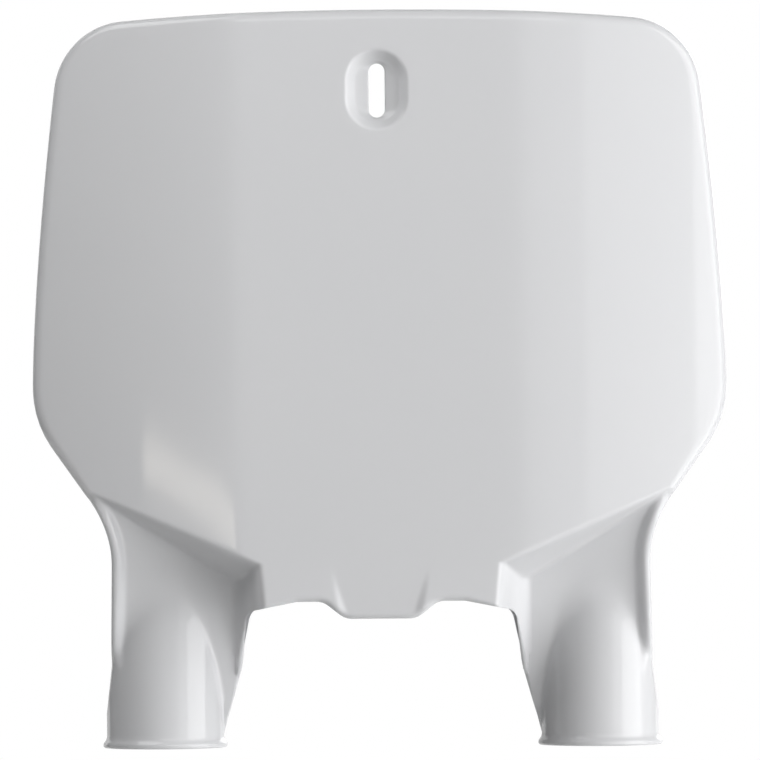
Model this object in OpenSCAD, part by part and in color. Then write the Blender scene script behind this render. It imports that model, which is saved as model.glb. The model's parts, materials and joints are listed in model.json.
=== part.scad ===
// Racing number board for a pair of fork tubes: one thin moulded shell.
// X is across the board, -Y is the front, Z runs up the fork tubes.
// The origin lies midway between the two sleeve axes, level with their lower ends.
// Depths are written as f, the distance in front of the plane of the two sleeve axes.

/* [Board outline] */
// Full height from the sleeve ends to the top edge
total_h = 300.4; // [290:0.2:318]
// Width of the board at its widest
board_w = 284.8; // [270:0.2:300]
// Height of the widest line
waist_z = 147; // [144:1:158]
// Width lost between the widest line and the top corners
top_taper = 27; // [12:1:36]
// Radius of the two top corners
top_corner_r = 30; // [18:1:34]
// Rise of the top edge at the middle
crown_rise = 2.7; // [1:0.1:6]
// Radius of the lower side corners
chin_r = 43; // [28:1:46]
// Radius of the hollow above each sleeve
neck_r = 42; // [26:1:44]

/* [Board surface] */
// Distance of the flat middle in front of the sleeve axes
board_f = 54; // [48:0.5:62]
// Half width of the flat middle
flat_half = 58; // [52:1:66]
// Angle of the fold beside the flat middle, as a slope
fold_slope = 0.11; // [0.04:0.01:0.16]
// Sweep back of each side, growing outwards from the fold
side_sweep = 0.0017; // [0.001:0.0001:0.0022]
// Thickness of the moulding
shell_wall = 2.3; // [1.8:0.1:2.5]
// Radius of the rounded outer edge of the board
edge_r = 4; // [3:0.1:5]
// Depth of the turned back rim of the board
rim_depth = 13; // [9:0.5:16]

/* [Fork sleeves] */
// Distance between the two sleeve axes
fork_spacing = 180; // [172:1:186]
// Bore radius of a sleeve
bore_r = 22; // [20.5:0.1:22.5]
// Thickness of a sleeve
sleeve_wall = 2.4; // [2.2:0.1:3]
// Width of the bead around the lower end of a sleeve
bead_out = 1.5; // [0.8:0.1:2.5]
// Height of the bead
bead_h = 4.2; // [3:0.1:6]
// Height at which the saddle floor meets the front of a sleeve
apex_z = 63.7; // [60:0.5:72]
// Forward slope of the saddle floor
floor_slope = 0.40; // [0.34:0.01:0.44]
// Sideways slope of the saddle floor, rising outwards
floor_cant = 0.06; // [0:0.01:0.1]
// Height of the raised lips along the saddle
lip_h = 3; // [1.5:0.1:4]
// Radius of the rounded lip
lip_r = 2.6; // [2.5:0.1:3.2]

/* [Tab between the sleeves] */
// Half width of the forward tab
tab_half = 51; // [46:0.5:54]
// Height of the lower edge of the tab
tab_z = 59.8; // [58:0.2:65]
// Drop of the tongue below the tab
tongue_drop = 7; // [4:0.2:9]
// Half width of the tongue along its lower edge
tongue_half = 12; // [9:0.5:16]
// Step of the tab in front of the tongue
tongue_step = 2.4; // [1:0.1:4]
// Distance of the crease beside each leg from the middle
crease_x = 61.8; // [60:0.2:63]
// Slope of the two walls beside the tab where they leave the crease
wall_lean = 1.3; // [0.8:0.1:2]
// Growth of that slope towards the tab
wall_curve = 0.112; // [0.08:0.004:0.14]
// Slope of the stepped face above each saddle
step_slope = 2.65; // [2.2:0.05:3]
// Height of the inner end of the step
step_in_z = 75.8; // [73:0.2:80]
// Height of the outer end of the step
step_out_z = 106; // [103:0.2:110]

/* [Bolt dish] */
// Distance of the slot centre below the top edge
slot_drop = 33; // [30:0.5:40]
// Width of the slot
slot_w = 6.5; // [5.5:0.1:8.5]
// Length of the slot
slot_l = 22; // [16:0.5:24]
// Width of the dish at the front
dish_w = 26; // [24:0.2:29]
// Height of the dish at the front
dish_h = 34.4; // [32:0.2:38]
// Depth of the dish
dish_depth = 5.5; // [4:0.1:7]
// Width of the sloping dish wall
dish_bevel = 3.7; // [2.5:0.1:4]

/* [Hidden] */
$fn = 96;

half_w = board_w / 2;
axis_x = fork_spacing / 2;
sleeve_r = bore_r + sleeve_wall;
slot_z = total_h - slot_drop;
// Extra room that the turned edge takes outside the border of the grid
edge_room = 0.3;
// How far in from the widest line the top curve ends, and how far down the side curve starts
corner_run = 42;
corner_fall = 33;
// Power of the curve by which the sides draw in towards the top
taper_power = 1.52;
// Drop of the lower side corner below the widest line, and the slope of the outline below it
chin_drop = 14;
chin_slope = 1.38;
// Depth of the strip beside each sleeve, behind the saddle
bed_f = 4.5;
// Length of the tools that cut the bores and the slot through
bore_cut = 130;
slot_cut = 12;
// Radii of the small corner and of the long curve beside the notch
notch_r = 5;
knee_r = 30;

// Small helpers: a blend between two values, a smooth step, a unit vector and a rounded minimum.
function mix(a, b, t) = a + (b - a) * t;
function ease(t) = let (c = max(0, min(1, t))) c * c * (3 - 2 * c);
function unit(v) = v / norm(v);
function soft_min(a, b, k) = (a + b - sqrt((a - b) * (a - b) + k * k)) / 2;

// Points of the arc of radius r that rounds the corner b between a and c.
function rounded(a, b, c, r, n) =
    let (
        u = unit(a - b),
        v = unit(c - b),
        half = acos(u * v) / 2,
        centre = b + unit(u + v) * r / sin(half),
        e0 = (b + u * r / tan(half) - centre) / r,
        e1 = (b + v * r / tan(half) - centre) / r,
        sweep = 180 - 2 * half
    )
    [for (s = [0 : n]) centre + r * (e0 * sin(sweep * (1 - s / n)) + e1 * sin(sweep * s / n)) / sin(sweep)];

// Outer outline of the right half, from the middle of the top edge down to the sleeve.
function crown_at(x) = total_h - crown_rise * pow(x / 100, 2);
function flank_at(z) = half_w - top_taper * pow((z - waist_z) / (total_h - waist_z), taper_power) / 2;
crown_end = half_w - corner_run;
flank_end = total_h - corner_fall;
top_corner = [flank_at(total_h - 4), crown_at(flank_at(total_h - 4))];
top_arc = rounded(
    [crown_end, crown_at(crown_end)], top_corner, [flank_at(flank_end), flank_end], top_corner_r, 12);
leg_out = axis_x + bore_r - 1.7;
chin = [half_w, waist_z - chin_drop];
neck = [leg_out, chin[1] - (half_w - leg_out) * chin_slope];
leg_foot = [axis_x + bore_r + 1.5, 0];
side_line = concat(
    [for (k = [6 : 12]) top_arc[k]],
    [for (s = [1 : 11]) let (z = mix(top_arc[12][1], waist_z, s / 11)) [flank_at(z), z]],
    rounded([half_w, waist_z + 20], chin, neck, chin_r, 8),
    rounded(chin, neck, leg_foot, neck_r, 8),
    [leg_foot]
);
top_line = concat(
    [for (s = [0 : 10]) let (x = top_arc[0][0] * s / 10) [x, crown_at(x)]],
    [for (k = [1 : 6]) top_arc[k]]
);
side_table = [for (p = side_line) [p[1], p[0]]];
function side_x(z) = lookup(z, side_table);
function top_z(x) = lookup(x, top_line);

// Outline of the notch between the sleeves, right half.
notch_corner = [tab_half + 3.3, tab_z - 4.8];
inner_knee = [axis_x - sleeve_r - 8.3, tab_z - 22.8];
inner_foot = [axis_x - sleeve_r + 0.7, 4];
notch_arc = rounded([tab_half - 14, tab_z], notch_corner, inner_knee, notch_r, 8);
notch_line = concat(
    [[0, tab_z - tongue_drop], [tongue_half, tab_z - tongue_drop]],
    [[tongue_half + 6, tab_z - tongue_drop * 0.5]],
    [[2 * tongue_half, tab_z], [tab_half - 14, tab_z]],
    [for (k = [0 : 4]) notch_arc[k]]
);
inner_line = concat(
    [for (k = [4 : 8]) notch_arc[k]],
    rounded(notch_corner, inner_knee, inner_foot, knee_r, 4),
    [inner_foot]
);
inner_table = [for (p = inner_line) [p[1], p[0]]];
function notch_z(x) = lookup(x, notch_line);
function inner_x(z) = lookup(z, inner_table);

// Depth of the front surface: the plate, the two walls beside the tab, the step and the saddle floor.
function plate_f(x) =
    let (over = x - flat_half, ramp = (over + sqrt(over * over + 16)) / 2)
    board_f - fold_slope * ramp - side_sweep * pow(max(0, over), 2);
function floor_f(x, z) =
    sleeve_r - 0.1 + floor_slope * (z - apex_z) + floor_cant * (x - axis_x);
function step_z(x) = mix(step_in_z, step_out_z, (x - tab_half) / (121 - tab_half));
function tab_flare(x, z) =
    tongue_step * ease((step_in_z - 4 - z) / 12) * ease((x - tongue_half - 1) / 5);
function wall_rise(x) = let (d = max(0, crease_x - x)) wall_lean * d + wall_curve * d * d;
function front_f(x, z) =
    let (
        plate = plate_f(x) + tab_flare(x, z),
        wall = max(bed_f, floor_f(crease_x, z)) + wall_rise(x),
        step = plate_f(x) + step_slope * (z - step_z(x)),
        bed = max(bed_f, floor_f(x, z))
    )
    soft_min(plate, max(bed, max(x < crease_x ? wall : 0, step)), 1.6);

// Rows and columns of the surface. One row holds the heights at the wall beside the tab, at the
// foot of that wall and at the outer edge, and the share of the top curve that it follows.
row_heights = [
    [0, 0, top_arc[6][1], 1],
    [0, 0, top_arc[8][1], 0.8],
    [0, 0, top_arc[10][1], 0.55],
    [0, 0, top_arc[12][1], 0.3],
    [0, 0, total_h - 47, 0.12],
    [0, 0, total_h - 63, 0],
    [0, 0, total_h - 80, 0],
    [0, 0, total_h - 97, 0],
    [0, 0, waist_z + 38, 0],
    [0, 0, waist_z + 22, 0],
    [0, 0, waist_z + 8, 0],
    [waist_z - 6, waist_z - 5.5, waist_z - 2, 0],
    [waist_z - 17, waist_z - 16, waist_z - 11, 0],
    [waist_z - 29, waist_z - 28, waist_z - 19, 0],
    [waist_z - 40, waist_z - 39, waist_z - 26, 0],
    [waist_z - 51, waist_z - 50, waist_z - 32, 0],
    [step_in_z + 10, step_in_z + 14.5, step_out_z + 5.5, 0],
    [step_in_z + 0.7, step_in_z + 5.6, step_out_z + 1.5, 0],
    [step_in_z - 2.5, step_in_z - 0.5, step_out_z - 1.5, 0],
    [step_in_z - 5, step_in_z - 6.1, step_out_z - 5, 0],
    [step_in_z - 8, step_in_z - 9.6, step_out_z - 10, 0],
    [step_in_z - 10.5, step_in_z - 12.4, step_out_z - 16.5, 0],
    [step_in_z - 13, step_in_z - 14.8, step_out_z - 24, 0],
    [step_in_z - 15, step_in_z - 17, step_out_z - 33, 0],
    [step_in_z - 17, step_in_z - 19.2, step_out_z - 41, 0],
    [52.5, 52.5, 58.5, 0],
    [48, 48, 52.5, 0],
    [43, 43, 46.5, 0],
    [38, 38, 41, 0],
    [32.5, 32.5, 34.5, 0],
    [27, 27, 28, 0],
    [21.5, 21.5, 21.5, 0],
    [16, 16, 16, 0],
    [11, 11, 11, 0],
    [6, 6, 6, 0]
];
fold_row = 17;
notch_row = 24;
last_row = len(row_heights) - 1;
tab_share = [0, 0.16, 0.32, 0.48, 0.62, 0.76, 0.89, 1];
tab_cols = [0, 7, tongue_half + 1, tongue_half + 6, 2 * tongue_half, 32, 40, tab_half - 4.5, tab_half];
crease_step = 3;
leg_share = [0, 0.05, 0.105, 0.17, 0.26, 0.36, 0.46, 0.57, 0.69, 0.81, 0.92, 1];
wall_col = len(tab_cols) - 1;
last_col = wall_col + len(leg_share) - 1;

// Outline point of a boundary position in the right half.
function outline(i, j) =
    i == 0
    ? (j <= wall_col
        ? [tab_cols[j], top_z(tab_cols[j])]
        : let (x = mix(tab_half, top_arc[6][0], leg_share[j - wall_col])) [x, top_z(x)])
    : j == last_col ? [side_x(row_heights[i][2]), row_heights[i][2]]
    : i == last_row
    ? let (z = row_heights[i][0]) [mix(inner_x(z), side_x(z), leg_share[j - wall_col]), z]
    : i == notch_row
    ? (j == wall_col ? notch_arc[4] : [tab_cols[j], notch_z(tab_cols[j])])
    : [inner_x(row_heights[i][0]), row_heights[i][0]];

// The boundary as one closed loop of rows and columns, clockwise as seen from the front.
loop = concat(
    [for (j = [-last_col : last_col]) [0, j]],
    [for (i = [1 : last_row]) [i, last_col]],
    [for (j = [last_col - 1 : -1 : wall_col]) [last_row, j]],
    [for (i = [last_row - 1 : -1 : notch_row]) [i, wall_col]],
    [for (j = [wall_col - 1 : -1 : -wall_col]) [notch_row, j]],
    [for (i = [notch_row + 1 : last_row]) [i, -wall_col]],
    [for (j = [-wall_col - 1 : -1 : -last_col]) [last_row, j]],
    [for (i = [last_row - 1 : -1 : 1]) [i, -last_col]]
);
loop_n = len(loop);
outline_pts = [for (v = loop) let (p = outline(v[0], abs(v[1]))) [p[0] * (v[1] < 0 ? -1 : 1), p[1]]];
outline_normals = [
    for (k = [0 : loop_n - 1])
    let (d = unit(outline_pts[(k + 1) % loop_n] - outline_pts[(k + loop_n - 1) % loop_n]))
    [-d[1], d[0]]
];
function loop_at(i, j) =
    i == 0 ? j + last_col
    : j == last_col ? 2 * last_col + i
    : i == last_row ? 3 * last_col + last_row - j
    : j == wall_col ? 3 * last_col - wall_col + 2 * last_row - i
    : 3 * last_col + 2 * last_row - notch_row - j;

// Where the edge turns back: a wide radius along the board, a small one along the saddles and the tab.
function leg_part(i) = ease((i - fold_row + 3) / 5);
function turn_r(i, j) = i == 0 ? edge_r : j == last_col ? mix(edge_r, lip_r, leg_part(i)) : lip_r;
function border(i, j) =
    let (k = loop_at(i, j), n = outline_normals[k])
    outline_pts[k] - n * (turn_r(i, j) + edge_room);

// Place of a grid position in the right half, as x and z.
function place(i, j) =
    let (
        side = border(i, last_col),
        top_fix = row_heights[i][3],
        apex = border(0, wall_col),
        drop = (apex[1] - border(0, last_col)[1]) * top_fix,
        open = row_heights[i][0] == 0,
        leg = i >= notch_row,
        wall_z = i > fold_row && !leg
            ? mix(row_heights[fold_row][0], border(notch_row, wall_col)[1], tab_share[i - fold_row])
            : open ? side[1] + drop : row_heights[i][0],
        wall_x = i > fold_row && !leg
            ? mix(tab_half, border(notch_row, wall_col)[0], pow(tab_share[i - fold_row], 2))
            : tab_half,
        head = leg ? border(i, wall_col) : [wall_x, wall_z]
    )
    j == last_col ? side
    : i == 0 ? border(0, j)
    : j < wall_col
    ? (i <= fold_row
        ? [tab_cols[j], head[1] + top_fix * (border(0, j)[1] - apex[1])]
        : [tab_cols[j] * head[0] / tab_half,
            mix(row_heights[fold_row][0], border(notch_row, j)[1], tab_share[i - fold_row])])
    : j == wall_col ? head
    : let (
        t = leg_share[j - wall_col],
        foot_t = leg_share[crease_step],
        x = mix(head[0], side[0], t),
        foot_z = open || i > notch_row ? mix(head[1], side[1], foot_t) : row_heights[i][1],
        flat_z = mix(foot_z, side[1], (t - foot_t) / (1 - foot_t)),
        chord = mix(apex[1], border(0, last_col)[1], t)
    )
    [x, flat_z + top_fix * (border(0, j)[1] - chord)];

// A lip stands up along the outer border of a saddle.
function lip(i, j, z) =
    j == last_col ? lip_h * ease((i - fold_row - 1) / 3) * ease((z - 12) / 14) : 0;

function exists(i, j) = i <= notch_row || j >= wall_col;
grid = [
    for (i = [0 : last_row])
    [
        for (j = [0 : last_col])
        exists(i, j)
        ? let (p = place(i, j)) [p[0], -(front_f(p[0], p[1]) + lip(i, j, p[1])), p[1]]
        : [0, 0, 0]
    ]
];
function at(i, j) = let (p = grid[i][abs(j)]) [p[0] * (j < 0 ? -1 : 1), p[1], p[2]];

// Forward position of the free edge of the turned back rim.
function rim_f(i, j, c, z) =
    i == 0 ? c - rim_depth
    : j == last_col
    ? (z > 30
        ? mix(c - rim_depth, mix(8.5, 13, ease((z - 30) / 50)), ease((step_out_z + 6 - z) / 34))
        : mix(0.4, 8.5, ease((z - 16) / 14)))
    : i == last_row ? 0.4
    : j == wall_col && i > notch_row ? mix(0.4, c - 6, ease((z - 14) / 44))
    : c - mix(6.5, 3.5, ease(j - wall_col + 3));

// Around the inner corner of the notch the rim fades out, and its section leans over with the wall there.
function rim_share(i, j) =
    i == notch_row && j == wall_col ? 0.02
    : i == notch_row && j == wall_col - 1 ? 0.3
    : i == notch_row && j == wall_col - 2 ? 0.75
    : j == wall_col && i > notch_row ? [0.02, 0.1, 0.35, 0.7, 1][min(4, i - notch_row)]
    : 1;
function lean(i, j) =
    i == notch_row && j == wall_col ? 1
    : i == notch_row && j == wall_col - 1 ? 0.5
    : i == notch_row + 1 && j == wall_col ? 0.6
    : i == notch_row + 2 && j == wall_col ? 0.25
    : 0;

turns = [30, 60, 88];
ring_n = len(turns) + 1;
// Place of rim step t at boundary position k, with the outward normal there: [point, normal].
function ring_step(k, t) =
    let (
        i = loop[k][0],
        j = abs(loop[k][1]),
        p = at(i, loop[k][1]),
        n = [outline_normals[k][0], 0, outline_normals[k][1]],
        up = border_normal(i, loop[k][1]),
        u = unit(n - up * (n * up)),
        r = turn_r(i, j),
        share = rim_share(i, j),
        a = share * turns[min(t, len(turns) - 1)],
        bend = mix(1.2 * (min(t, len(turns) - 1) + 1) / len(turns), 0, share),
        straight = t < len(turns) ? 0 : mix(0.6, -p[1] - rim_f(i, j, -p[1], p[2]) - r, share)
    )
    [
        p + (u * sin(a) - up * (1 - cos(a))) * r + u * bend + (u * cos(a) - up * sin(a)) * straight,
        u * sin(a) + up * cos(a)
    ];

// Thickness: every grid point moves in along its own normal.
function cell_normal(i, j) =
    i < 0 || i >= last_row || j >= last_col || j < -last_col ? [0, 0, 0]
    : i >= notch_row && j < wall_col && j >= -wall_col ? [0, 0, 0]
    : let (c = cross(at(i + 1, j + 1) - at(i, j), at(i, j + 1) - at(i + 1, j))) unit(c);
function on_border(i, j) =
    i == 0 || abs(j) == last_col || i == last_row
    || (i == notch_row && abs(j) <= wall_col) || (abs(j) == wall_col && i > notch_row);
function cells_around(i, j) =
    [cell_normal(i - 1, j - 1), cell_normal(i - 1, j), cell_normal(i, j - 1), cell_normal(i, j)];
function surface_normal(i, j) = let (c = cells_around(i, j)) unit(c[0] + c[1] + c[2] + c[3]);
function inner_at(i, j) =
    let (
        n = surface_normal(i, j),
        live = [for (c = cells_around(i, j)) if (norm(c) > 0) c * n]
    )
    on_border(i, j)
    ? at(i, j) - border_normal(i, j) * shell_wall
    : at(i, j) - n * shell_wall / max(0.7, min(live));
function border_normal(i, j) = unit(mix([0, -1, 0], surface_normal(i, j), lean(i, abs(j))));
ring = [for (k = [0 : loop_n - 1]) [for (t = [0 : ring_n - 1]) ring_step(k, t)]];

// The shell as one closed surface.
function col_count(i) = i <= notch_row ? 2 * last_col + 1 : 2 * (last_col - wall_col + 1);
row_start = [
    for (i = [0 : last_row])
    i <= notch_row + 1
    ? i * (2 * last_col + 1)
    : (notch_row + 1) * (2 * last_col + 1) + (i - notch_row - 1) * col_count(last_row)
];
grid_n = row_start[last_row] + col_count(last_row);
function grid_id(i, j) =
    i <= notch_row ? row_start[i] + j + last_col
    : j < 0 ? row_start[i] + j + last_col
    : row_start[i] + j + last_col - (2 * wall_col - 1);
grid_order = [for (i = [0 : last_row]) for (j = [-last_col : last_col]) if (exists(i, abs(j))) [i, j]];

outer_pts = concat([for (v = grid_order) at(v[0], v[1])], [for (r = ring) for (q = r) q[0]]);
inner_pts = concat(
    [for (v = grid_order) inner_at(v[0], v[1])],
    [for (r = ring) for (q = r) q[0] - q[1] * shell_wall]
);
skin_n = len(outer_pts);
function ring_id(k, t) =
    let (w = (k + loop_n) % loop_n)
    t < 0 ? grid_id(loop[w][0], loop[w][1]) : grid_n + w * ring_n + t;

grid_quads = [
    for (i = [0 : last_row - 1])
    for (j = [-last_col : last_col - 1])
    if (i < notch_row || j >= wall_col || j < -wall_col)
    [grid_id(i, j), grid_id(i, j + 1), grid_id(i + 1, j + 1), grid_id(i + 1, j)]
];
ring_quads = [
    for (k = [0 : loop_n - 1])
    for (t = [-1 : ring_n - 2])
    [ring_id(k + 1, t), ring_id(k, t), ring_id(k, t + 1), ring_id(k + 1, t + 1)]
];
skin = concat(grid_quads, ring_quads);
lip_quads = [
    for (k = [0 : loop_n - 1])
    let (a = ring_id(k, ring_n - 1), b = ring_id(k + 1, ring_n - 1))
    [b, a, a + skin_n, b + skin_n]
];
// The corner of a four-sided facet is cut along the same diagonal on both sides of the wall.
function split(q, side) = side == 0 ? [[q[0], q[1], q[2]], [q[0], q[2], q[3]]]
    : [[q[2] + skin_n, q[1] + skin_n, q[0] + skin_n], [q[3] + skin_n, q[2] + skin_n, q[0] + skin_n]];

module shell() {
    polyhedron(
        points = concat(outer_pts, inner_pts),
        faces = concat(
            [for (q = skin) each split(q, 0)],
            [for (q = skin) each split(q, 1)],
            [for (q = lip_quads) each split(q, 0)]
        )
    );
}

// Half round sleeve, cut off where it sinks into the saddle floor.
sleeve_top = apex_z + 9;
hold_z = apex_z - (sleeve_r - bed_f) / floor_slope;
module half_ring(profile) {
    rotate_extrude(angle = -180) polygon(profile);
}
module behind_floor(side) {
    mid = shell_wall * 0.55;
    w = sleeve_r + 3;
    x0 = axis_x - w;
    x1 = axis_x + w;
    z0 = hold_z;
    z1 = sleeve_top + 4;
    far = 6;
    polyhedron(
        points = [
            [side * x0, -floor_f(x0, z0) + mid, z0], [side * x1, -floor_f(x1, z0) + mid, z0],
            [side * x1, far, z0], [side * x0, far, z0],
            [side * x0, -floor_f(x0, z1) + mid, z1], [side * x1, -floor_f(x1, z1) + mid, z1],
            [side * x1, far, z1], [side * x0, far, z1]
        ],
        faces = [
            for (q = [[0, 1, 2, 3], [7, 6, 5, 4], [0, 4, 5, 1], [1, 5, 6, 2], [2, 6, 7, 3], [3, 7, 4, 0]])
            side > 0 ? q : [q[3], q[2], q[1], q[0]]
        ]
    );
}
module sleeve(side) {
    difference() {
        translate([side * axis_x, 0, 0]) half_ring([
            [bore_r, 0],
            [sleeve_r + bead_out * 0.7, 0],
            [sleeve_r + bead_out, bead_h * 0.15],
            [sleeve_r + bead_out, bead_h * 0.4],
            [sleeve_r + bead_out * 0.45, bead_h * 0.68],
            [sleeve_r, bead_h],
            [sleeve_r, sleeve_top],
            [bore_r, sleeve_top]
        ]);
        behind_floor(side);
    }
}

// Oval dish around the bolt slot.
dish_r = dish_w / 2;
dish_reach = (dish_h - dish_w) / 2;
floor_r = dish_r - dish_bevel;
module oval(profile) {
    translate([0, 0, slot_z]) rotate([90, 0, 0]) {
        for (s = [-1, 1]) translate([0, s * dish_reach, 0]) rotate_extrude() polygon(profile);
        rotate([90, 0, 0]) translate([0, 0, -dish_reach]) linear_extrude(height = 2 * dish_reach)
            for (s = [-1, 1]) scale([s, 1]) polygon(profile);
    }
}
module dish_cup() {
    oval([
        [0, board_f - dish_depth - shell_wall],
        [floor_r + 1, board_f - dish_depth - shell_wall],
        [dish_r + 1.5, board_f - shell_wall - 0.4],
        [dish_r + 1.5, board_f - shell_wall * 0.4],
        [0, board_f - shell_wall * 0.4]
    ]);
}
module dish_void() {
    oval([
        [0, board_f - dish_depth],
        [floor_r - 0.8, board_f - dish_depth],
        [floor_r + 0.2, board_f - dish_depth + 0.7],
        [dish_r - 0.6, board_f - 0.7],
        [dish_r + 0.7, board_f + 0.1],
        [dish_r + 0.7, board_f + 3],
        [0, board_f + 3]
    ]);
}
module bolt_slot() {
    reach = (slot_l - slot_w) / 2;
    translate([0, 0, slot_z]) rotate([90, 0, 0]) {
        for (s = [-1, 1])
            translate([0, s * reach, board_f - dish_depth - slot_cut / 2]) cylinder(r = slot_w / 2, h = slot_cut);
        translate([-slot_w / 2, -reach, board_f - dish_depth - slot_cut / 2]) cube([slot_w, 2 * reach, slot_cut]);
    }
}

module number_board() {
    color([0.93, 0.93, 0.94])
    difference() {
        union() {
            shell();
            sleeve(-1);
            sleeve(1);
            dish_cup();
        }
        dish_void();
        bolt_slot();
        for (s = [-1, 1]) translate([s * axis_x, 0, -1]) cylinder(r = bore_r, h = bore_cut);
    }
}

number_board();
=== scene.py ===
# %% [markdown]
# A racing number board, as it is modelled for its looks. The real board is one thin
# injection moulding in glossy white plastic: a plate with a turned back rim, a dish with a
# slot for one bolt, and two legs that end in half round sleeves for the fork tubes. The
# measured solid comes first and is never moved. The skin that is seen is made around it.

# %% The measured solid
import json
import math

import bmesh
import bpy
from mathutils import Matrix, Vector


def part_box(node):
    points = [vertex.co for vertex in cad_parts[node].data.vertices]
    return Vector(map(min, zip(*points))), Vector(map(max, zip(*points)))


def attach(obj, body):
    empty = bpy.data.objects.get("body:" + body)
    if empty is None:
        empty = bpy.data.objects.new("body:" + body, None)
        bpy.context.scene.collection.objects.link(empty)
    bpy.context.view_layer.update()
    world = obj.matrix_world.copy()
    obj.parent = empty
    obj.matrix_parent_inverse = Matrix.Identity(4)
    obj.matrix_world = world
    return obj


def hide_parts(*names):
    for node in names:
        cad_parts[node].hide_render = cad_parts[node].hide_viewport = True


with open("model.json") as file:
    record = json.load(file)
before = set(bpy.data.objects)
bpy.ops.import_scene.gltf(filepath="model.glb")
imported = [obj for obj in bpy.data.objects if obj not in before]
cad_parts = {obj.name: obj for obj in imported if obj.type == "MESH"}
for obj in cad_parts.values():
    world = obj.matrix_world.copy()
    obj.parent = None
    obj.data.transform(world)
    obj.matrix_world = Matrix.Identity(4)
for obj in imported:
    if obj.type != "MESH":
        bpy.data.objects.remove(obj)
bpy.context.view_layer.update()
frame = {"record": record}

# %% [markdown]
# The camera stands where the photographer stood: straight in front of the board, a couple
# of metres away and a little lower than its middle, so that it looks slightly up. A long
# lens keeps the board nearly free of perspective. A tiny turn and a tiny roll are what the
# photograph shows.

# %% The camera
PHOTO_PIXELS = 760
PIXEL = 0.4155e-3
SENSOR_WIDTH = 36.0
FAR_CLIP = 50.0
CAMERA_DISTANCE = 2.0
AIM = Vector((0.0, 0.0, 0.1515))
CAMERA_TILT = math.radians(2.2)
CAMERA_TURN = math.radians(0.5)
CAMERA_ROLL = math.radians(-0.47)


def add_camera():
    lens = bpy.data.cameras.new("camera")
    lens.sensor_width = SENSOR_WIDTH
    lens.lens = lens.sensor_width * CAMERA_DISTANCE / (PHOTO_PIXELS * PIXEL)
    lens.clip_end = FAR_CLIP
    camera = bpy.data.objects.new("camera", lens)
    bpy.context.scene.collection.objects.link(camera)
    swing = Matrix.Rotation(CAMERA_TURN, 4, "Z") @ Matrix.Rotation(CAMERA_TILT, 4, "X")
    place = swing @ Matrix.Translation((0.0, -CAMERA_DISTANCE, 0.0))
    upright = Matrix.Rotation(math.radians(90), 4, "X") @ Matrix.Rotation(CAMERA_ROLL, 4, "Z")
    camera.matrix_world = Matrix.Translation(AIM) @ place @ upright
    bpy.context.scene.camera = camera
    return camera


camera = add_camera()
print("lens in millimetres:", round(camera.data.lens, 1))

# %% [markdown]
# Every size that the measured solid knows is read from it, so the skin follows the solid.
# The shape is worked out in millimetres and brought to metres at the very end.
# f is the distance in front of the plane of the two fork tubes, so y is -f.

# %% Sizes from the solid
MM = 0.001
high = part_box("number_board")[1]
mounts = {mount["name"]: mount for mount in frame["record"]["mounts"]}
AXIS_X = mounts["right_fork_sleeve"]["pos_m"][0] / MM
BORE_R = mounts["right_fork_sleeve"]["dims"]["r_mm"]
SLOT_Z = mounts["top_bolt_slot"]["pos_m"][2] / MM
SLOT_R = mounts["top_bolt_slot"]["dims"]["hole_r_mm"]
SLOT_L = mounts["top_bolt_slot"]["dims"]["slot_length_mm"]
TOTAL_H = high[2] / MM
HALF_W = high[0] / MM
SLEEVE_WALL = 2.4
SLEEVE_R = BORE_R + SLEEVE_WALL
print("board", round(2 * HALF_W, 1), "wide and", round(TOTAL_H, 1), "high; sleeves at", round(AXIS_X, 1))

# %% Sizes of the moulding
BOARD_F = 54.0
FLAT_HALF = 58.0
FOLD_SLOPE = 0.11
SIDE_SWEEP = 0.0017
WALL = 2.3
EDGE_R = 4.0
LIP_R = 2.6
RIM_DEPTH = 13.0
EDGE_ROOM = 0.2
WAIST_Z = 148.4
TAB_HALF = 51.0
TAB_Z = 59.8
TONGUE_DROP = 7.0
TONGUE_HALF = 13.4
TONGUE_STEP = 1.6
FACET_TOP_X = 19.6
FACET_FOOT_X = 14.6
FACET_TOP_Z = 72.0
STEP_SLOPE = 2.65
STEP_IN_Z = 75.8
STEP_OUT_Z = 106.0
APEX_Z = 63.7
FLOOR_SLOPE = 0.40
FLOOR_CANT = 0.06
CREASE_X = 60.3
FOLD_SOFTNESS = 4.0
STEP_OUT_X = 121.0
APEX_DROP = 0.1


# %% [markdown]
# Small helpers. A blend of two numbers, a smooth step, a table that is read between its
# entries, a minimum and maximum with a rounded meeting, and an arc that rounds a corner.
# The rounded ones are what turns a sum of simple faces into a moulding with fillets.

# %% Helpers
def mix(a, b, t):
    return a + (b - a) * t


def ease(t):
    t = max(0.0, min(1.0, t))
    return t * t * (3 - 2 * t)


def ramp(value, start, end):
    """A smooth share that is 0 at the start and 1 at the end."""
    return ease((value - start) / (end - start))


def lookup(x, table):
    """The value at x in a list of (x, value), straight between its entries."""
    if x <= table[0][0]:
        return table[0][1]
    for (x0, v0), (x1, v1) in zip(table, table[1:]):
        if x <= x1:
            return mix(v0, v1, (x - x0) / (x1 - x0)) if x1 > x0 else v1
    return table[-1][1]


def soft_max(a, b, k):
    over = max(k - abs(a - b), 0.0) / k
    return max(a, b) + over ** 3 * k / 6


def soft_min(a, b, k):
    return -soft_max(-a, -b, k)


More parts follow.
